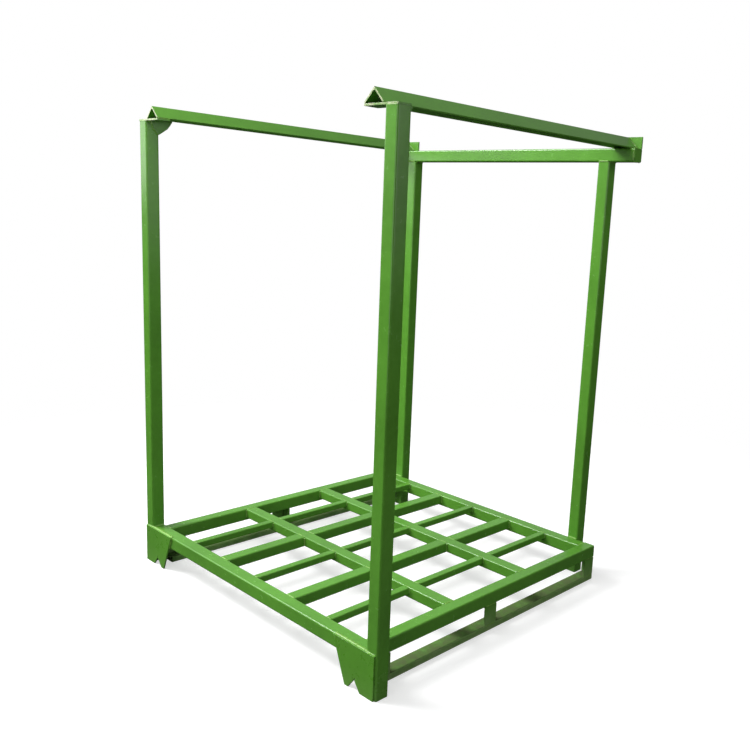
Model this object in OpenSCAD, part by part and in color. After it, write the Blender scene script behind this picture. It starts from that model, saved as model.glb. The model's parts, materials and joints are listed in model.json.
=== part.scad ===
/* [Overall] */
// Width over the outer faces of the two front posts
rack_width = 1400; // [1200:10:1800]
// Depth from the front face of the front posts to the rear face of the rear posts
rack_depth = 1286; // [1100:2:1500]
// Height of the front posts, floor to tube end
post_height = 1720; // [1200:10:2200]
// Inset of the rear posts from the outer face of the front posts
rear_post_inset = 145; // [112:1:300]

/* [Frame tube] */
// Side of the square tube of posts, beams and rear cross rail
tube = 50; // [46:1:60]
// Wall of the square tube
tube_wall = 3; // [2:0.5:5]

/* [Deck] */
// Top of the deck above the floor
deck_top = 147; // [130:1:200]
// Step inwards from the front post to the outer face of the side beams
side_beam_step = 9; // [2:1:20]
// Width of the cross bars and of the wide deck bars
bar_width = 50; // [40:1:70]
// Height of the cross bars and of the wide deck bars
bar_height = 40; // [30:1:46]
// Wall of the cross bars and of the wide deck bars
bar_wall = 2.5; // [1.5:0.5:4]
// Width of the narrow deck slats
slat_width = 30; // [20:1:50]
// Height of the narrow deck slats
slat_height = 25; // [20:1:40]
// Wall of the narrow deck slats
slat_wall = 2; // [1.5:0.5:3]

/* [Base] */
// Height of the flat tubes that lie on the floor
lower_rail_height = 25; // [20:1:40]
// Wall of the flat tubes that lie on the floor
lower_rail_wall = 2.5; // [1.5:0.5:4]
// Length of each angle spacer along the side
spacer_length = 60; // [40:1:90]
// Thickness of each angle spacer
spacer_thickness = 5; // [3:1:8]
// Centre of the middle spacer behind the front face
mid_spacer_position = 591; // [450:1:700]

/* [Plates] */
// Thickness of the foot, cap, gusset and end plates
plate = 6; // [4:1:10]
// Step inwards from the outer face of the post to the foot plate
foot_plate_step = 8; // [0:1:20]
// Width of the foot plate along its top edge
foot_plate_top = 192; // [170:1:260]
// Width of the foot plate along the floor
foot_plate_base = 132; // [130:1:169]
// Height of the foot notch above the floor
notch_height = 35; // [20:1:60]
// Width of the foot notch at the floor
notch_width = 55; // [40:1:64]
// Width of the cutting kerf that the notch was made with
kerf_width = 2; // [1:0.5:3]
// Length by which each kerf runs past the notch's apex
kerf_overrun = 8; // [2:1:12]
// Thickness of the end caps of the rear cross rail
end_cap = 3; // [2:1:6]
// Inset of the rear cross rail's ends from the outer face of the front posts
cross_rail_inset = 36; // [20:1:46]
// Width of the end plates behind the side rails
end_plate_width = 129; // [120:1:180]
// Height of the end plates behind the side rails
end_plate_height = 44; // [30:1:60]
// Start of the gussets behind the front face
gusset_start = 19; // [8:1:30]
// Rear tip of the gussets behind the front face
gusset_reach = 100; // [90:1:140]
// Depth of the gussets below the post's top
gusset_drop = 46; // [30:1:70]

/* [Side rails] */
// Leg of the angle iron that forms each ridge
rail_leg = 56; // [50:1:60]
// Thickness of that angle iron
rail_thickness = 5; // [4:0.5:8]
// Radius of the fillet inside its corner
rail_root_radius = 6; // [3:0.5:8]

/* [Hidden] */
$fn = 48;
paint = [0.30, 0.52, 0.20];
half = rack_width / 2;
front = -(rack_depth - plate) / 2;
rear = front + rack_depth;
post_inner = half - tube;
beam_outer = post_inner - side_beam_step;
beam_inner = beam_outer - tube;
beam_axis = (beam_outer + beam_inner) / 2;
beam_base = deck_top - tube;
deck_start = front + tube;
rear_post_front = rear - tube;
deck_end = rear_post_front - tube;
cap_top = post_height + plate;
cross_rail_base = cap_top - tube;
slant = sin(45);
rail_half = rail_leg * slant;
ridge_axis = post_inner - plate - rail_half;
rail_rise = rail_thickness * slant;
rail_root = rail_half - rail_rise;
notch_lean = atan(notch_width / 2 / notch_height);
// clear opening between deck members, front to rear and side to side
row_gap = (deck_end - deck_start - 2 * bar_width) / 3;
column_gap = (2 * beam_inner - 3 * slat_width - 2 * bar_width) / 6;
outer_slat_axis = beam_inner - column_gap - slat_width / 2;
bar_axis = column_gap + slat_width / 2 + bar_width / 2;
row_start = [for (i = [0:2]) deck_start + i * (row_gap + bar_width)];

module rounded(w, h, r) {
  square([w - 2 * r, h], center = true);
  square([w, h - 2 * r], center = true);
  for (x = [-1, 1], y = [-1, 1])
    translate([x * (w / 2 - r), y * (h / 2 - r)])
      circle(r = r);
}

// hollow section with an outer corner radius of twice the wall
module section(w, h, wall) {
  difference() {
    rounded(w, h, 2 * wall);
    rounded(w - 2 * wall, h - 2 * wall, wall);
  }
}

module along_x(x0, x1, y, z, w, h, wall) {
  translate([x0, y, z])
    rotate([90, 0, 90])
      linear_extrude(height = x1 - x0)
        section(w, h, wall);
}

module along_y(x, y0, y1, z, w, h, wall) {
  translate([x, y1, z])
    rotate([90, 0, 0])
      linear_extrude(height = y1 - y0)
        section(w, h, wall);
}

module along_z(x, y, z0, z1, w, d, wall) {
  translate([x, y, z0])
    linear_extrude(height = z1 - z0)
      section(w, d, wall);
}

// side is -1 on the left and 1 on the right
module on_side(side) {
  mirror([side > 0 ? 0 : 1, 0, 0])
    children();
}

module front_post(side) {
  color(paint)
    along_z(side * (half - tube / 2), front + tube / 2, 0, post_height, tube, tube, tube_wall);
}

module rear_post(side) {
  color(paint)
    along_z(side * (half - rear_post_inset - tube / 2), rear - tube / 2, 0, cross_rail_base, tube, tube, tube_wall);
}

module front_beam() {
  color(paint)
    along_x(-post_inner, post_inner, front + tube / 2, deck_top - tube / 2, tube, tube, tube_wall);
}

module rear_beam() {
  color(paint)
    along_x(-beam_inner, beam_inner, deck_end + tube / 2, deck_top - tube / 2, tube, tube, tube_wall);
}

module side_beam(side) {
  color(paint)
    along_y(side * beam_axis, deck_start, rear_post_front, deck_top - tube / 2, tube, tube, tube_wall);
}

// row 1 is the front cross bar, row 2 the rear one
module cross_bar(row) {
  y = row_start[row] - bar_width / 2;
  color(paint)
    along_x(-beam_inner, beam_inner, y, deck_top - bar_height / 2, bar_width, bar_height, bar_wall);
}

module deck_bar(row, x) {
  y = row_start[row];
  color(paint)
    along_y(x, y, y + row_gap, deck_top - bar_height / 2, bar_width, bar_height, bar_wall);
}

module deck_slat(row, x) {
  y = row_start[row];
  color(paint)
    along_y(x, y, y + row_gap, deck_top - slat_height / 2, slat_width, slat_height, slat_wall);
}

module lower_rail(side) {
  z = lower_rail_height / 2;
  color(paint)
    along_y(side * beam_axis, deck_start, rear_post_front, z, tube, lower_rail_height, lower_rail_wall);
}

// upright angle iron: one leg flush with the beam's outer face, one across the beam
module spacer(side, y) {
  x = side > 0 ? beam_inner : -beam_outer;
  leg = side > 0 ? beam_outer - spacer_thickness : -beam_outer;
  height = beam_base - lower_rail_height;
  color(paint)
    union() {
      translate([leg, y, lower_rail_height])
        cube([spacer_thickness, spacer_length, height]);
      translate([x, y + spacer_length - spacer_thickness, lower_rail_height])
        cube([tube, spacer_thickness, height]);
    }
}

// the notch's two kerfs cross at its apex
module notch_kerfs() {
  translate([ridge_axis, notch_height])
    for (side = [-1, 1])
      on_side(side)
        rotate(-notch_lean)
          translate([0, -1])
            square([kerf_width, kerf_overrun + 1]);
}

module foot_outline() {
  outer = half - foot_plate_step;
  difference() {
    polygon([
      [outer, 0],
      [outer, deck_top],
      [outer - foot_plate_top, deck_top],
      [outer - foot_plate_base, 0]
    ]);
    polygon([
      [ridge_axis - notch_width / 2, 0],
      [ridge_axis, notch_height],
      [ridge_axis + notch_width / 2, 0],
      [ridge_axis + notch_width / 2, -1],
      [ridge_axis - notch_width / 2, -1]
    ]);
    notch_kerfs();
  }
}

module foot_plate(side) {
  color(paint)
    translate([0, front, 0])
      rotate([90, 0, 0])
        linear_extrude(height = plate)
          on_side(side)
            foot_outline();
}

module cap_plate(side) {
  width = tube + plate + 2 * rail_half;
  x = side > 0 ? half - width : -half;
  color(paint)
    translate([x, front, post_height])
      cube([width, tube, plate]);
}

// torch-cut leaf in the corner between the post and the side rail
module gusset(side) {
  x = side > 0 ? post_inner - plate : -post_inner;
  low = post_height - gusset_drop;
  shoulder = cap_top + rail_rise;
  color(paint)
    translate([x, front, 0])
      rotate([90, 0, 90])
        linear_extrude(height = plate)
          polygon([
            [gusset_start, post_height],
            [gusset_start + 7, low + gusset_drop / 2],
            [gusset_start + 23, low + 2],
            [gusset_start + 29, low],
            [gusset_reach - 19, low + gusset_drop / 2],
            [gusset_reach - 8, low + gusset_drop * 0.8],
            [gusset_reach, post_height + plate / 2],
            [gusset_reach, shoulder],
            [tube, shoulder],
            [tube, post_height]
          ]);
}

// angle iron on its toes, with a fillet inside its corner
module rail_outline() {
  polygon([
    [0, rail_half + rail_rise],
    [-rail_half, rail_rise],
    [-rail_root, 0],
    [0, rail_root],
    [rail_root, 0],
    [rail_half, rail_rise]
  ]);
  reach = rail_root_radius * slant;
  difference() {
    polygon([[0, rail_root], [-reach, rail_root - reach], [0, rail_root - 2 * reach], [reach, rail_root - reach]]);
    translate([0, rail_root - 2 * reach])
      circle(r = rail_root_radius);
  }
}

module side_rail(side) {
  color(paint)
    translate([side * ridge_axis, rear - plate, cap_top])
      rotate([90, 0, 0])
        linear_extrude(height = rack_depth - plate)
          rail_outline();
}

module rear_cross_rail() {
  end = half - cross_rail_inset - end_cap;
  color(paint)
    along_x(-end, end, rear - tube / 2, cap_top - tube / 2, tube, tube, tube_wall);
}

module cross_rail_cap(side) {
  x = side * (half - cross_rail_inset - end_cap / 2) - end_cap / 2;
  color(paint)
    translate([x, rear - tube / 2, cap_top - tube / 2])
      rotate([90, 0, 90])
        linear_extrude(height = end_cap)
          rounded(tube, tube, 2 * tube_wall);
}

module end_plate(side) {
  outer = half - cross_rail_inset;
  x = side > 0 ? outer - end_plate_width : -outer;
  color(paint)
    translate([x, rear - plate, cap_top])
      cube([end_plate_width, plate, end_plate_height]);
}

front_post(-1);  // front_post_left
front_post(1);  // front_post_right
rear_post(-1);  // rear_post_left
rear_post(1);  // rear_post_right
front_beam();
rear_beam();
side_beam(-1);  // side_beam_left
side_beam(1);  // side_beam_right
cross_bar(1);  // cross_bar_front
cross_bar(2);  // cross_bar_rear
deck_bar(0, -bar_axis);  // deck_bar_front_left
deck_bar(0, bar_axis);  // deck_bar_front_right
deck_bar(1, -bar_axis);  // deck_bar_middle_left
deck_bar(1, bar_axis);  // deck_bar_middle_right
deck_bar(2, -bar_axis);  // deck_bar_rear_left
deck_bar(2, bar_axis);  // deck_bar_rear_right
deck_slat(0, -outer_slat_axis);  // deck_slat_front_left
deck_slat(0, 0);  // deck_slat_front_centre
deck_slat(0, outer_slat_axis);  // deck_slat_front_right
deck_slat(1, -outer_slat_axis);  // deck_slat_middle_left
deck_slat(1, 0);  // deck_slat_middle_centre
deck_slat(1, outer_slat_axis);  // deck_slat_middle_right
deck_slat(2, -outer_slat_axis);  // deck_slat_rear_left
deck_slat(2, 0);  // deck_slat_rear_centre
deck_slat(2, outer_slat_axis);  // deck_slat_rear_right
lower_rail(-1);  // lower_rail_left
lower_rail(1);  // lower_rail_right
spacer(-1, deck_start);  // spacer_front_left
spacer(1, deck_start);  // spacer_front_right
spacer(-1, front + mid_spacer_position - spacer_length / 2);  // spacer_middle_left
spacer(1, front + mid_spacer_position - spacer_length / 2);  // spacer_middle_right
spacer(-1, rear_post_front - spacer_length);  // spacer_rear_left
spacer(1, rear_post_front - spacer_length);  // spacer_rear_right
foot_plate(-1);  // foot_plate_left
foot_plate(1);  // foot_plate_right
cap_plate(-1);  // cap_plate_left
cap_plate(1);  // cap_plate_right
gusset(-1);  // gusset_left
gusset(1);  // gusset_right
side_rail(-1);  // side_rail_left
side_rail(1);  // side_rail_right
rear_cross_rail();
cross_rail_cap(-1);  // cross_rail_cap_left
cross_rail_cap(1);  // cross_rail_cap_right
end_plate(-1);  // end_plate_left
end_plate(1);  // end_plate_right
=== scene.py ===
import json
import math
import random

import bpy
from mathutils import Matrix, Vector


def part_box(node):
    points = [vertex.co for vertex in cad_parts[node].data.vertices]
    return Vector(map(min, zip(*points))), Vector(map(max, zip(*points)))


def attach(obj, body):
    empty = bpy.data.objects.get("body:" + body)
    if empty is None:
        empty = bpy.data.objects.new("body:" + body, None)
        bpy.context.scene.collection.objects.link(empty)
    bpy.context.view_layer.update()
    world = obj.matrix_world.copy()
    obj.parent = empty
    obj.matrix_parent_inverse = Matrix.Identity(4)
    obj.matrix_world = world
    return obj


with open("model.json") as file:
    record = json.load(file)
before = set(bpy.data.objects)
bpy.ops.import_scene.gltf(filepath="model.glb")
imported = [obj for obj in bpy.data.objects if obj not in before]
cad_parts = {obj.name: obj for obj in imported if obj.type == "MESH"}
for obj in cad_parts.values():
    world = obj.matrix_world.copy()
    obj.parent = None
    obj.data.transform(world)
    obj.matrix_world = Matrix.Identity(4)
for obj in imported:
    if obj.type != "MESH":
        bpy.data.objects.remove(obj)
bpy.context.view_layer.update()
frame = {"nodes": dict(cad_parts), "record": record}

random.seed(11)  # fixed, so that each run lays the same beads
scene = bpy.context.scene
nodes = frame["nodes"]
print("frame loaded:", len(nodes), "welded members")


# camera, in metres and radians
view = {
    "place": (2.3628, -2.1756, 1.4451),
    "turn": 0.7253,  # to the left of straight ahead
    "tilt": -0.1916,
    "roll": 0.0567,
    "focalPixels": 830.26,
    "centrePixels": (469.58, 376.81),
    "framePixels": 750,
    "sensor": 36,  # mm
    "farthest": 200,
}


def makeCamera(settings):
    turn, tilt, roll = settings["turn"], settings["tilt"], settings["roll"]
    forward = Vector((-math.sin(turn) * math.cos(tilt), math.cos(turn) * math.cos(tilt), math.sin(tilt)))
    level = Vector((math.cos(turn), math.sin(turn), 0))
    right = level * math.cos(roll) + level.cross(forward) * math.sin(roll)
    up = right.cross(forward)
    size = settings["framePixels"]
    data = bpy.data.cameras.new("camera")
    data.sensor_width = settings["sensor"]
    data.lens = settings["sensor"] * settings["focalPixels"] / size
    data.shift_x = 0.5 - settings["centrePixels"][0] / size
    data.shift_y = settings["centrePixels"][1] / size - 0.5
    data.clip_end = settings["farthest"]
    camera = bpy.data.objects.new("camera", data)
    scene.collection.objects.link(camera)
    facing = Matrix((right, up, -forward)).transposed().to_4x4()
    camera.matrix_world = Matrix.Translation(settings["place"]) @ facing
    scene.camera = camera


makeCamera(view)
scene.view_settings.view_transform = "Standard"
print("camera set")


# a value is put into its socket, and another node's output is linked to it
def fillSockets(tree, node, sockets):
    for name, value in sockets.items():
        if isinstance(value, bpy.types.NodeSocket):
            tree.links.new(value, node.inputs[name])
        else:
            node.inputs[name].default_value = value


def addNode(tree, kind, place, sockets=None, **settings):
    node = tree.nodes.new(kind)
    node.location = place
    for name, value in settings.items():
        setattr(node, name, value)
    fillSockets(tree, node, sockets or {})
    return node


def addMath(tree, operation, place, *terms, clamp=False):
    node = addNode(tree, "ShaderNodeMath", place, operation=operation, use_clamp=clamp)
    fillSockets(tree, node, dict(enumerate(terms)))
    return node.outputs["Value"]


# a value taken from one range to another, each given as its two ends
def addRange(tree, place, value, start, end=(0, 1), **settings):
    sockets = {"Value": value, "From Min": start[0], "From Max": start[1], "To Min": end[0], "To Max": end[1]}
    return addNode(tree, "ShaderNodeMapRange", place, sockets, **settings).outputs["Result"]


def addNoise(tree, place, where, look):
    sockets = {"Vector": where, "Scale": look["scale"], "Detail": look["detail"],
               "Roughness": look.get("roughness", 0.5)}
    return addNode(tree, "ShaderNodeTexNoise", place, sockets).outputs["Fac"]


def addMix(tree, place, kind, factor, first, second):
    mix = addNode(tree, "ShaderNodeMix", place, data_type=kind)
    fillSockets(tree, mix, {"Factor": factor, "A": first, "B": second})
    return mix.outputs["Result"]


def newGroup(name, inputs, outputs):
    tree = bpy.data.node_groups.new(name, "ShaderNodeTree")
    for label, kind, value in inputs:
        socket = tree.interface.new_socket(label, in_out="INPUT", socket_type=kind)
        socket.default_value = value
    for label, kind in outputs:
        tree.interface.new_socket(label, in_out="OUTPUT", socket_type=kind)
    given = addNode(tree, "NodeGroupInput", (-900, 0)).outputs
    made = addNode(tree, "NodeGroupOutput", (900, 0))
    return tree, given, made


# colour drift, gloss drift and orange peel of sprayed enamel
coatLook = {
    "broad": {"scale": 4.5, "detail": 3},
    "fine": {"scale": 38, "detail": 5, "roughness": 0.6},
    "peel": {"scale": 260, "detail": 2},
    "fineShare": 0.5,  # of the fine noise, added to the broad one
    "driftRange": (0.5, 1.0),
    "driftGain": 0.3,
    "glossRange": (0.3, 0.7),
    "waves": 0.6,
}


def makeSprayCoat(look):
    tree, given, made = newGroup(
        "sprayCoat",
        [("Colour", "NodeSocketColor", (0.09, 0.26, 0.035, 1)), ("Drift", "NodeSocketFloat", 0.5),
         ("Low Gloss", "NodeSocketFloat", 0.3), ("High Gloss", "NodeSocketFloat", 0.2),
         ("Peel", "NodeSocketFloat", 0.5)],
        [("Colour", "NodeSocketColor"), ("Roughness", "NodeSocketFloat"), ("Height", "NodeSocketFloat")])
    where = addNode(tree, "ShaderNodeTexCoord", (-900, -300)).outputs["Object"]
    broad = addNoise(tree, (-650, 250), where, look["broad"])
    fine = addNoise(tree, (-650, 0), where, look["fine"])
    peel = addNoise(tree, (-650, -350), where, look["peel"])
    both = addMath(tree, "MULTIPLY_ADD", (-400, 150), fine, look["fineShare"], broad)
    shift = addRange(tree, (-200, 150), both, look["driftRange"], (-1, 1))
    amount = addMath(tree, "MULTIPLY", (180, 250), shift, given["Drift"])
    gain = addMath(tree, "MULTIPLY_ADD", (360, 250), amount, look["driftGain"], 1)
    tone = addNode(tree, "ShaderNodeVectorMath", (560, 250), operation="SCALE")
    fillSockets(tree, tone, {0: given["Colour"], "Scale": gain})
    rough = addRange(tree, (360, 0), fine, look["glossRange"], (given["High Gloss"], given["Low Gloss"]))
    height = addMath(tree, "MULTIPLY", (0, -300), peel, given["Peel"])
    waves = addMath(tree, "MULTIPLY_ADD", (200, -300), fine, look["waves"], height)
    fillSockets(tree, made, {"Colour": tone.outputs["Vector"], "Roughness": rough, "Height": waves})
    return tree


# pale edges: worn thin paint and painted highlight along the edges, which is where the rounded normal leaves
# the surface's own
edgeWearHighlightLook = {
    "samples": 4,
    "match": (0.995, 0.86),  # between the two normals, where the rub starts and where it is full
    "patches": {"scale": 60, "detail": 4},
    "brokenUp": (0.42, 0.6),
}


def makeEdgeWearHighlight(look):
    tree, given, made = newGroup(
        "edgeWearHighlight",
        [("Radius", "NodeSocketFloat", 0.002)],
        [("Mask", "NodeSocketFloat"), ("Normal", "NodeSocketVector")])
    bevel = addNode(tree, "ShaderNodeBevel", (-600, 100), {"Radius": given["Radius"]},
                    samples=look["samples"])
    face = addNode(tree, "ShaderNodeNewGeometry", (-600, -100))
    match = addNode(tree, "ShaderNodeVectorMath", (-400, 0), operation="DOT_PRODUCT")
    fillSockets(tree, match, {0: bevel.outputs["Normal"], 1: face.outputs["Normal"]})
    edge = addRange(tree, (-200, 0), match.outputs["Value"], look["match"])
    where = addNode(tree, "ShaderNodeTexCoord", (-600, -350)).outputs["Object"]
    patches = addNoise(tree, (-400, -350), where, look["patches"])
    brokenUp = addRange(tree, (-200, -350), patches, look["brokenUp"])
    both = addMath(tree, "MULTIPLY", (200, 0), edge, brokenUp)
    fillSockets(tree, made, {"Mask": both, "Normal": bevel.outputs["Normal"]})
    return tree


# pale dust splashes on upright faces near the floor, and painted shade on what lies flat there under the deck
dustAndShadeLook = {
    "spots": {"scale": 30, "detail": 5, "roughness": 0.6},
    "grain": (0.1, 0.75),
    "flatFrom": 0.7,  # upward part of the normal
    "flatExtra": 1.6,
}


def makeFloorDustAndShade(look):
    tree, given, made = newGroup(
        "floorDustAndShade",
        [("Reach", "NodeSocketFloat", 0.12), ("Amount", "NodeSocketFloat", 0.3)],
        [("Mask", "NodeSocketFloat"), ("Flat", "NodeSocketFloat")])
    where = addNode(tree, "ShaderNodeTexCoord", (-800, 0)).outputs["Object"]
    parts = addNode(tree, "ShaderNodeSeparateXYZ", (-600, 100), {"Vector": where})
    fade = addRange(tree, (-400, 100), parts.outputs["Z"], (0, given["Reach"]), (1, 0))
    spots = addNoise(tree, (-600, -200), where, look["spots"])
    grain = addRange(tree, (-400, -200), spots, look["grain"])
    both = addMath(tree, "MULTIPLY", (-100, 0), fade, grain)
    scaled = addMath(tree, "MULTIPLY", (100, 0), both, given["Amount"])
    face = addNode(tree, "ShaderNodeNewGeometry", (-400, -450))
    tilt = addNode(tree, "ShaderNodeSeparateXYZ", (-200, -450), {"Vector": face.outputs["True Normal"]})
    flat = addMath(tree, "GREATER_THAN", (0, -450), tilt.outputs["Z"], look["flatFrom"])
    thick = addMath(tree, "MULTIPLY_ADD", (200, -300), flat, look["flatExtra"], 1)
    cover = addMath(tree, "MULTIPLY", (400, 0), scaled, thick, clamp=True)
    fillSockets(tree, made, {"Mask": cover, "Flat": flat})
    return tree


# pale cuts that face forward, the front ends of the ridges and of the plates under them: thin paint on the
# sawn ends, and painted highlight where they face the front light
cutLook = {
    "below": 0.01,  # how far under the cap plates the cuts may start
    "behind": 0.04,  # how far behind their front faces they may lie
    "forward": -0.9,  # rearward part of the normal
    "spots": {"scale": 140, "detail": 4},
    "cover": (0.3, 0.55),
}


def makeCutEnds(look):
    tree, given, made = newGroup(
        "cutEnds",
        [("Amount", "NodeSocketFloat", 1.0)],
        [("Mask", "NodeSocketFloat")])
    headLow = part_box("cap_plate_right")[0]
    where = addNode(tree, "ShaderNodeTexCoord", (-800, 0)).outputs["Object"]
    parts = addNode(tree, "ShaderNodeSeparateXYZ", (-600, 100), {"Vector": where})
    high = addMath(tree, "GREATER_THAN", (-350, 200), parts.outputs["Z"], headLow.z - look["below"])
    ahead = addMath(tree, "LESS_THAN", (-350, 0), parts.outputs["Y"], headLow.y + look["behind"])
    face = addNode(tree, "ShaderNodeNewGeometry", (-800, -250))
    tilt = addNode(tree, "ShaderNodeSeparateXYZ", (-600, -250), {"Vector": face.outputs["True Normal"]})
    forward = addMath(tree, "LESS_THAN", (-350, -250), tilt.outputs["Y"], look["forward"])
    spots = addNoise(tree, (-600, -450), where, look["spots"])
    cover = addRange(tree, (-350, -450), spots, look["cover"])
    place = addMath(tree, "MULTIPLY", (-100, 100), high, ahead)
    facing = addMath(tree, "MULTIPLY", (-100, -200), forward, cover)
    both = addMath(tree, "MULTIPLY", (150, 0), place, facing)
    fillSockets(tree, made, {"Mask": addMath(tree, "MULTIPLY", (350, 0), both, given["Amount"])})
    return tree


sprayCoat = makeSprayCoat(coatLook)
edgeWearHighlight = makeEdgeWearHighlight(edgeWearHighlightLook)
floorDustAndShade = makeFloorDustAndShade(dustAndShadeLook)
cutEnds = makeCutEnds(cutLook)

# edgeColour is the pale edge: worn paint and painted highlight
enamels = {
    "tube_paint": {
        "colour": (0.094, 0.285, 0.030, 1), "drift": 0.4, "lowGloss": 0.28, "highGloss": 0.2, "peel": 0.4,
        "bump": 0.02, "edgeRadius": 0.0012, "edgeColour": (0.2, 0.42, 0.12, 1), "edgeMix": 0.5,
        "dustShadeAmount": 0.12, "dustShadeReach": 0.1, "cutAmount": 0, "level": 0.45,
    },
    "plate_paint": {
        "colour": (0.091, 0.280, 0.026, 1), "drift": 0.35, "lowGloss": 0.36, "highGloss": 0.24, "peel": 0.7,
        "bump": 0.04, "edgeRadius": 0.0015, "edgeColour": (0.22, 0.44, 0.14, 1), "edgeMix": 0.7,
        "dustShadeAmount": 0.12, "dustShadeReach": 0.08, "cutAmount": 0.85, "level": 0.45,
    },
    "rail_paint": {
        "colour": (0.093, 0.278, 0.029, 1), "drift": 0.3, "lowGloss": 0.33, "highGloss": 0.28, "peel": 0.5,
        "bump": 0.015, "edgeRadius": 0.0015, "edgeColour": (0.24, 0.45, 0.16, 1), "edgeMix": 0.7,
        "dustShadeAmount": 0.7, "dustShadeReach": 0.1, "cutAmount": 1, "level": 0.45,
    },
    "weld_paint": {
        # paler than the frame's paint, with pale edges: thin paint on the beads and painted highlight on
        # their lumps
        "colour": (0.17, 0.37, 0.055, 1), "drift": 0.9, "lowGloss": 0.48, "highGloss": 0.3, "peel": 1.2,
        "bump": 0.3, "edgeRadius": 0.0015, "edgeColour": (0.42, 0.56, 0.24, 1), "edgeMix": 0.7,
        "dustShadeAmount": 0.12, "dustShadeReach": 0.1, "cutAmount": 0, "level": 0.5,
    },
}
soilAndPaintedLight = {
    "dust": (0.37, 0.47, 0.24, 1),
    # painted shade on flat faces near the floor, under the deck
    "flatShade": (0.098, 0.145, 0.048, 1),
    # pale cut ends: thin paint and painted highlight
    "thinCutAndHighlight": (0.50, 0.54, 0.34, 1),
    "dullness": 0.9,  # roughness that full dust adds
    "bumpDepth": 0.0006,
}


def makeEnamel(name, finish):
    paint = bpy.data.materials.new(name)
    paint.use_nodes = True
    tree = paint.node_tree
    coat = addNode(tree, "ShaderNodeGroup", (-900, 200), node_tree=sprayCoat, sockets={
        "Colour": finish["colour"], "Drift": finish["drift"], "Low Gloss": finish["lowGloss"],
        "High Gloss": finish["highGloss"], "Peel": finish["peel"]})
    wearHighlight = addNode(tree, "ShaderNodeGroup", (-900, -150), node_tree=edgeWearHighlight, sockets={
        "Radius": finish["edgeRadius"]})
    # mask of pale dust on upright faces and painted shade on flat faces near the floor
    dust = addNode(tree, "ShaderNodeGroup", (-900, -400), node_tree=floorDustAndShade, sockets={
        "Reach": finish["dustShadeReach"], "Amount": finish["dustShadeAmount"]})
    cut = addNode(tree, "ShaderNodeGroup", (-900, 450), node_tree=cutEnds, sockets={
        "Amount": finish["cutAmount"]})
    # pale edge colour: worn paint and painted highlight
    wornAndLit = addMath(tree, "MULTIPLY", (-650, -100), wearHighlight.outputs["Mask"], finish["edgeMix"])
    edged = addMix(tree, (-450, 200), "RGBA", wornAndLit, coat.outputs["Colour"], finish["edgeColour"])
    # thin paint and painted highlight on the forward-facing cut ends
    cutAndHighlight = addMix(tree, (-350, 400), "RGBA", cut.outputs["Mask"], edged, soilAndPaintedLight["thinCutAndHighlight"])
    # pale dust colour on upright faces, painted shade colour on flat ones
    dustAndShadeColour = addMix(tree, (-450, 0), "RGBA", dust.outputs["Flat"], soilAndPaintedLight["dust"], soilAndPaintedLight["flatShade"])
    dustedAndShaded = addMix(tree, (-250, 200), "RGBA", dust.outputs["Mask"], cutAndHighlight, dustAndShadeColour)
    dull = addMath(tree, "MULTIPLY_ADD", (-250, -50), dust.outputs["Mask"], soilAndPaintedLight["dullness"],
                   coat.outputs["Roughness"])
    bump = addNode(tree, "ShaderNodeBump", (-250, -300), {
        "Strength": finish["bump"], "Distance": soilAndPaintedLight["bumpDepth"], "Height": coat.outputs["Height"],
        "Normal": wearHighlight.outputs["Normal"]})
    fillSockets(tree, tree.nodes["Principled BSDF"], {
        "Base Color": dustedAndShaded, "Roughness": dull, "Normal": bump.outputs["Normal"],
        "Specular IOR Level": finish["level"]})
    return paint


paints = {name: makeEnamel(name, finish) for name, finish in enamels.items()}
slotOf = {row["node"]: row["material_slot"] for row in frame["record"]["subparts"]}
for name, member in nodes.items():
    for materialSlot in member.material_slots:
        materialSlot.material = paints[slotOf[name]]
print("enamel on", len(nodes), "members")


# weld beads: one bead is modelled for each length and thickness, and copied along the seams
weldBead = {
    "radius": 0.0036,
    "ripple": 0.95,  # length of a ripple, as a share of the radius
    "fewest": 3,  # ripples in a bead
    "neck": 0.72,  # width between two ripples
    "swell": 0.16,  # share by which a ripple may be wider or narrower
    "sides": 8,
    "wander": 0.0007,
    "tail": 0.45,  # the ends taper to this share
    "trim": 0.004,  # how far a seam stops short of the member's sides
    "lift": 0.001,  # of the bead's middle, out of a corner
    "sunk": 0.0022,  # of the bead's middle, below a flush face
    "past": 0.002,  # how far a flush bead lies on the neighbour
}
beadModels = {}
directions = {
    "+x": Vector((1, 0, 0)), "-x": Vector((-1, 0, 0)), "+y": Vector((0, 1, 0)),
    "-y": Vector((0, -1, 0)), "+z": Vector((0, 0, 1)), "-z": Vector((0, 0, -1)),
}


def clearSelection():
    bpy.ops.object.select_all(action="DESELECT")


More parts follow.
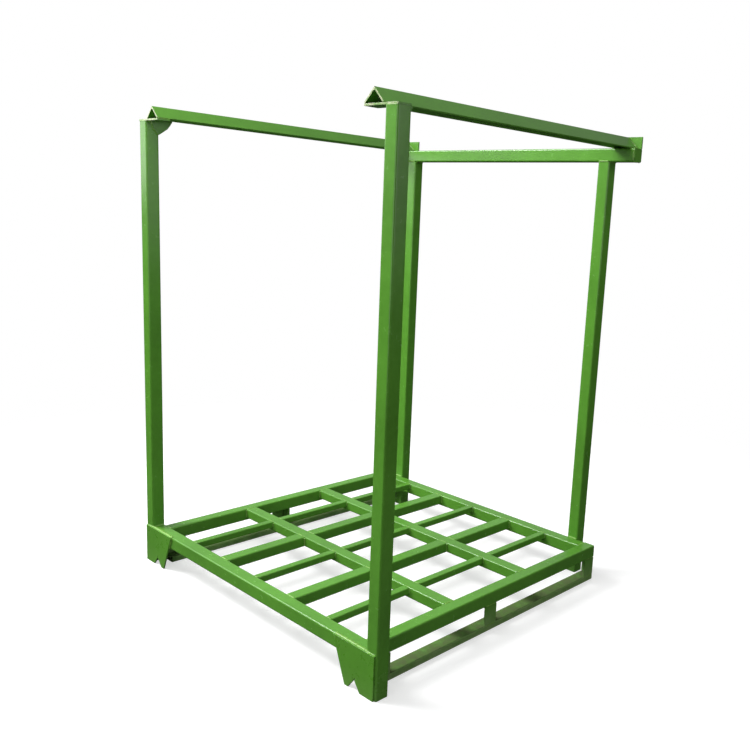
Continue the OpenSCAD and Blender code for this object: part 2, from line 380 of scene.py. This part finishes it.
def modelBead(length, radius):
    clearSelection()
    tail = weldBead["tail"]
    swell = weldBead["swell"]
    bpy.ops.mesh.primitive_circle_add(vertices=weldBead["sides"], radius=radius * tail, fill_type="NGON")
    bead = bpy.context.object
    bpy.ops.object.mode_set(mode="EDIT")
    bpy.ops.mesh.select_mode(type="FACE")
    bpy.ops.mesh.select_all(action="SELECT")
    rings = 2 * max(weldBead["fewest"], round(length / (weldBead["ripple"] * radius)))
    step = length / rings
    size = tail
    offset = Vector((0, 0, 0))
    for ring in range(1, rings + 1):
        bpy.ops.mesh.extrude_region_move(TRANSFORM_OT_translate={"value": (0, 0, step)})
        wanted = random.uniform(1 - swell, 1 + swell) * (1 if ring % 2 else weldBead["neck"])
        if ring == rings:
            wanted = tail
        change = wanted / size
        bpy.ops.transform.resize(value=(change, change, 1), center_override=(0, 0, ring * step))
        offset *= change
        fresh = Vector((random.uniform(-1, 1), random.uniform(-1, 1), 0)) * weldBead["wander"]
        bpy.ops.transform.translate(value=fresh - offset)
        offset = fresh
        size = wanted
    bpy.ops.mesh.select_all(action="SELECT")
    bpy.ops.mesh.normals_make_consistent(inside=False)
    bpy.ops.object.mode_set(mode="OBJECT")
    bpy.ops.object.shade_smooth()
    return bead


# a bead from start to end whose middle lies `lift` metres out from the seam line
def layBead(start, end, outward, lift=weldBead["lift"], radius=weldBead["radius"]):
    start = Vector(start)
    run = Vector(end) - start
    key = (round(run.length, 3), radius)
    if key not in beadModels:
        beadModels[key] = modelBead(*key)
    mesh = beadModels[key].data.copy()
    axis = run.normalized()
    side = (outward - axis * outward.dot(axis)).normalized()
    place = Matrix((side, axis.cross(side), axis)).transposed().to_4x4()
    place.translation = start + side * lift
    mesh.transform(place @ Matrix.Rotation(random.uniform(0, 2 * math.pi), 4, "Z"))
    bead = bpy.data.objects.new("bead", mesh)
    scene.collection.objects.link(bead)
    return bead


def pick(low, high, way):
    index = "xyz".index(way[1])
    return index, (high if way[0] == "+" else low)[index]


# beads round the end of a member that butts on another one, on the named sides
def endWelds(node, towards, fillets=(), flush=(), radius=weldBead["radius"], sunk=weldBead["sunk"]):
    low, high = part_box(node)
    endIndex, endAt = pick(low, high, towards)
    beads = []
    for side in fillets + flush:
        sideIndex, sideAt = pick(low, high, side)
        runIndex = 3 - endIndex - sideIndex
        start, end = Vector(low), Vector(high)
        start[endIndex] = end[endIndex] = endAt
        start[sideIndex] = end[sideIndex] = sideAt
        start[runIndex] = low[runIndex] + weldBead["trim"]
        end[runIndex] = high[runIndex] - weldBead["trim"]
        if side in flush:
            past = directions[towards] * weldBead["past"]
            beads.append(layBead(start + past, end + past, directions[side], -sunk, radius))
        else:
            beads.append(layBead(start, end, directions[side] - directions[towards], radius=radius))
    return beads


def mirrored(beads):
    for bead in list(beads):
        mesh = bead.data.copy()
        mesh.transform(Matrix.Scale(-1, 4, directions["+x"]))
        mesh.flip_normals()
        twin = bpy.data.objects.new("bead", mesh)
        scene.collection.objects.link(twin)
        beads.append(twin)
    return beads


def joinWelds(name, beads):
    clearSelection()
    for bead in beads:
        bead.select_set(True)
    bpy.context.view_layer.objects.active = beads[0]
    bpy.ops.object.join()
    weld = bpy.context.view_layer.objects.active
    weld.name = name
    weld.data.name = name
    weld.data.materials.clear()
    weld.data.materials.append(paints["weld_paint"])
    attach(weld, "root")
    print("welds laid:", name, len(beads), "beads")


# deck bars and slats, at both ends
deckColumns = {"bar": ("left", "right"), "slat": ("left", "centre", "right")}
for row in ("front", "middle", "rear"):
    beads = []
    for kind, columns in deckColumns.items():
        for column in columns:
            for towards in ("-y", "+y"):
                beads += endWelds(f"deck_{kind}_{row}_{column}", towards, fillets=("-x", "+x"), flush=("+z",))
    joinWelds(f"{row}RowWelds", beads)

# cross bars and beams of the deck's frame
beads = []
for member in ("cross_bar_front", "cross_bar_rear"):
    beads += endWelds(member, "+x", fillets=("-y", "+y"), flush=("+z",))
beads += endWelds("rear_beam", "+x", fillets=("-y", "-z"), flush=("+z", "+y"))
beads += endWelds("side_beam_right", "-y", fillets=("+x", "-x", "-z"), flush=("+z",))
joinWelds("deckFrameWelds", mirrored(beads))

# front beam on the front posts, and rear posts on the rear beam
postFoot = {"uprightTrim": 0.003, "uprightLift": 0.0005}
beads = endWelds("front_beam", "+x", fillets=("+z", "-z"), flush=("+y",))
postLow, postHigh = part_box("rear_post_right")
beamLow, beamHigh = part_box("rear_beam")
seat = postLow.y
for height, outward in ((beamHigh.z, directions["+z"] - directions["+y"]),
                        (beamLow.z, directions["-z"] - directions["+y"])):
    start = (postLow.x + weldBead["trim"], seat, height)
    end = (postHigh.x - weldBead["trim"], seat, height)
    beads.append(layBead(start, end, outward))
for edge, outward in ((postLow.x, directions["-x"] + directions["+y"]),
                      (postHigh.x, directions["+x"] + directions["+y"])):
    start = (edge, seat, beamLow.z + postFoot["uprightTrim"])
    end = (edge, seat, beamHigh.z - postFoot["uprightTrim"])
    beads.append(layBead(start, end, outward, postFoot["uprightLift"]))
joinWelds("postFootWelds", mirrored(beads))

# rear posts under the cross rail, cap plates on the front posts, and the ridges' toes at both ends
postHead = {
    "sunk": 0.001,  # of the beads between rear post and cross rail
    "capTrim": 0.003,  # how far the beads under a cap plate stop short of its sides
    "capFarTrim": 0.006,  # the same at the outer end of the front one
    "capDepth": 0.0022,  # of the front one behind the cap's face
    "capRadius": 0.003,
    "toeInset": 0.0035,  # from the tip of a toe
    "toeLift": 0.0012,
    "toeTrim": 0.002,
}
beads = endWelds("rear_post_right", "+z", fillets=("-x", "+x"), flush=("-y",), sunk=postHead["sunk"])
capLow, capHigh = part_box("cap_plate_right")
tubeLow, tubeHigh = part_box("front_post_right")
start = (tubeLow.x, capLow.y + postHead["capTrim"], capLow.z)
end = (tubeLow.x, capHigh.y - postHead["capTrim"], capLow.z)
beads.append(layBead(start, end, directions["-x"] + directions["-z"]))
capFront = capLow.y + postHead["capDepth"]
start = (tubeLow.x + postHead["capTrim"], capFront, capLow.z)
end = (tubeHigh.x - postHead["capFarTrim"], capFront, capLow.z)
beads.append(layBead(start, end, directions["-y"], 0, postHead["capRadius"]))
railLow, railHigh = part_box("side_rail_right")
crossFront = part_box("rear_cross_rail")[0].y
for startY, endY in ((capLow.y + postHead["toeTrim"], capHigh.y), (crossFront, railHigh.y)):
    for toe, outward in ((railLow.x + postHead["toeInset"], directions["-x"]),
                         (railHigh.x - postHead["toeInset"], directions["+x"])):
        beads.append(layBead((toe, startY, railLow.z), (toe, endY, railLow.z),
                             outward + directions["+z"], postHead["toeLift"]))
joinWelds("postHeadWelds", mirrored(beads))

# end plates behind the ridges, and caps on the cross rail
endPlate = {
    "apexDrop": 0.005,  # how far under the ridge's top the two slanting beads meet
    "toeRise": 0.004,  # how far above the toes they start
    "slopeLift": 0.0012,
    "capRadius": 0.0032, "capSunk": 0.0012,
}
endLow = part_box("end_plate_right")[0]
apex = Vector(((railLow.x + railHigh.x) / 2, endLow.y, railHigh.z - endPlate["apexDrop"]))
beads = []
for toe, outward in ((railLow.x, Vector((-1, -1, 1))), (railHigh.x, Vector((1, -1, 1)))):
    start = (toe, endLow.y, railLow.z + endPlate["toeRise"])
    beads.append(layBead(start, apex, outward, endPlate["slopeLift"]))
beads.append(layBead(endLow, (railLow.x, endLow.y, endLow.z), directions["-y"] + directions["+z"]))
beads += endWelds("cross_rail_cap_right", "-x", flush=("+z", "-z", "-y"), radius=endPlate["capRadius"],
                  sunk=endPlate["capSunk"])
joinWelds("endPlateWelds", mirrored(beads))

# foot plates on the front beam, with the broad bead along their tops
footPlate = {
    "radius": 0.0074,
    "behind": 0.0032, "below": 0.0025,  # from the plate's upper rear edge to the middle of the broad bead
    "innerTrim": 0.002, "outerTrim": 0.001,
    "baseWidth": 0.132,  # of the plate along the floor
    "edgeTrim": 0.002,  # for the bead on the slanted edge
    "underTrim": 0.025,  # for the bead under the beam
}
footLow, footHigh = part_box("foot_plate_right")
beamLow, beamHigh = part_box("front_beam")
back = footHigh.y
ledgeY, ledgeZ = back + footPlate["behind"], footHigh.z - footPlate["below"]
start = (footLow.x + footPlate["innerTrim"], ledgeY, ledgeZ)
end = (footHigh.x - footPlate["outerTrim"], ledgeY, ledgeZ)
beads = [layBead(start, end, directions["+z"], 0, footPlate["radius"])]
slope = (footHigh.x - footPlate["baseWidth"] - footLow.x) / (footHigh.z - footLow.z)
start = (footLow.x, back, beamHigh.z - footPlate["edgeTrim"])
end = (footLow.x + slope * (beamHigh.z - beamLow.z), back, beamLow.z + footPlate["edgeTrim"])
beads.append(layBead(start, end, directions["-x"] + directions["-y"]))
start = (footLow.x + footPlate["underTrim"], back, beamLow.z)
beads.append(layBead(start, (tubeLow.x, back, beamLow.z), directions["-z"] + directions["+y"]))
joinWelds("footPlateWelds", mirrored(beads))

# gussets on the front posts, along the part of their edge that lies on the tube
gusset = {
    # back and up from the head of the tube
    "edge": ((0.019, 0), (0.026, -0.023), (0.042, -0.044), (0.048, -0.046)),
    "outward": Vector((-1, -0.6, -0.6)),
    "radius": 0.003,
}
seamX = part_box("gusset_right")[1].x
beads = []
for (startBack, startUp), (endBack, endUp) in zip(gusset["edge"], gusset["edge"][1:]):
    start = (seamX, tubeLow.y + startBack, capLow.z + startUp)
    end = (seamX, tubeLow.y + endBack, capLow.z + endUp)
    beads.append(layBead(start, end, gusset["outward"], radius=gusset["radius"]))
joinWelds("gussetWelds", mirrored(beads))

# spacers between the floor tubes and the side beams
spacer = {"radius": 0.003}
beads = []
for place in ("front", "middle", "rear"):
    member = f"spacer_{place}_right"
    fillets = () if place == "front" else ("-y",)
    beads += endWelds(member, "+z", fillets=fillets, flush=("+x",), radius=spacer["radius"])
    fillets = () if place == "rear" else ("+y",)
    beads += endWelds(member, "-z", fillets=fillets, flush=("+x",), radius=spacer["radius"])
joinWelds("spacerWelds", mirrored(beads))

for model in beadModels.values():
    bpy.data.objects.remove(model)
print("welds finished")


# floor: pale to the camera, darker for light that bounces off it and for mirrored rays
floorLook = {
    "size": 12, "below": 0.0005,
    "seen": 0.5, "bounce": 0.16, "mirrored": 0.03, "glow": 0.6, "roughness": 0.9,
    "fade": (1.5, 3.2),  # metres from the middle
}


def grey(share):
    return (share, share, share, 1)


def makeFloor(look):
    clearSelection()
    bpy.ops.mesh.primitive_plane_add(size=look["size"], location=(0, 0, -look["below"]))
    floor = bpy.context.object
    floor.name = "studioFloor"
    paper = bpy.data.materials.new("paleFloor")
    paper.use_nodes = True
    tree = paper.node_tree
    ray = addNode(tree, "ShaderNodeLightPath", (-900, 0)).outputs
    dim, mirror, seen = grey(look["bounce"]), grey(look["mirrored"]), grey(look["seen"])
    shiny = addMix(tree, (-650, 100), "RGBA", ray["Is Glossy Ray"], dim, mirror)
    shade = addMix(tree, (-450, 100), "RGBA", ray["Is Camera Ray"], shiny, seen)
    glow = addMath(tree, "MULTIPLY", (-450, -150), ray["Is Camera Ray"], look["glow"])
    where = addNode(tree, "ShaderNodeTexCoord", (-900, -400)).outputs["Object"]
    reach = addNode(tree, "ShaderNodeVectorMath", (-700, -400), {0: where}, operation="LENGTH")
    fade = addRange(tree, (-450, -400), reach.outputs["Value"], look["fade"], (1, 0),
                    interpolation_type="SMOOTHSTEP")
    face = addNode(tree, "ShaderNodeNewGeometry", (-450, -650))
    above = addMath(tree, "SUBTRACT", (-250, -500), fade, face.outputs["Backfacing"], clamp=True)
    fillSockets(tree, tree.nodes["Principled BSDF"], {
        "Base Color": shade, "Roughness": look["roughness"], "Specular IOR Level": 0,
        "Emission Color": grey(1), "Emission Strength": glow, "Alpha": above})
    floor.data.materials.append(paper)


makeFloor(floorLook)

# soft square lights, in metres and watts, aimed at the middle of the rack
softLights = {
    "keySoftbox": {"place": (-3.8, -3.0, 5.6), "size": 2.6, "power": 550},
    "leftSoftbox": {"place": (-3.2, -1.6, 2.8), "size": 3.0, "power": 64},
    "overheadSoftbox": {"place": (0, -1.3, 3.2), "size": 1.6, "power": 40},
    "frontSoftbox": {"place": (1.1, -4.3, 1.6), "size": 2.4, "power": 46},
    "rightSoftbox": {"place": (3.2, 0.5, 2.0), "size": 2.0, "power": 27},
    "backSoftbox": {"place": (-0.8, 4.5, 1.8), "size": 2.4, "power": 80, "glints": False},
}
aim = Vector((0, 0, 0.75))
for name, lamp in softLights.items():
    data = bpy.data.lights.new(name, "AREA")
    data.shape = "SQUARE"
    data.size = lamp["size"]
    data.energy = lamp["power"]
    light = bpy.data.objects.new(name, data)
    scene.collection.objects.link(light)
    light.location = lamp["place"]
    light.visible_glossy = lamp.get("glints", True)
    light.rotation_euler = (light.location - aim).to_track_quat("Z", "Y").to_euler()

# white to the camera, nearly dark as a light, and a pale left side in the paint's reflections
surround = {
    "seen": 1.0, "ambient": 0.02,
    "sideways": (-0.3, 0.6), "mirrored": (0.44, 0.03),  # from left to right
    "upwards": (-0.05, 0.1), "horizon": (0.05, 1),  # from below the horizon to above it
}


def makeWorld(look):
    world = bpy.data.worlds.new("paleStudio")
    scene.world = world
    world.use_nodes = True
    tree = world.node_tree
    ray = addNode(tree, "ShaderNodeLightPath", (-900, 200)).outputs
    way = addNode(tree, "ShaderNodeTexCoord", (-900, -200)).outputs["Generated"]
    parts = addNode(tree, "ShaderNodeSeparateXYZ", (-700, -200), {"Vector": way}).outputs
    sideways = addRange(tree, (-500, -200), parts["X"], look["sideways"], look["mirrored"])
    upwards = addRange(tree, (-500, -450), parts["Z"], look["upwards"], look["horizon"])
    inPaint = addMath(tree, "MULTIPLY", (-350, -300), sideways, upwards)
    shiny = addMix(tree, (-200, 0), "FLOAT", ray["Is Glossy Ray"], look["ambient"], inPaint)
    seen = addMix(tree, (0, 0), "FLOAT", ray["Is Camera Ray"], shiny, look["seen"])
    fillSockets(tree, tree.nodes["Background"], {"Color": grey(1), "Strength": seen})


makeWorld(surround)
print("floor and lights set")
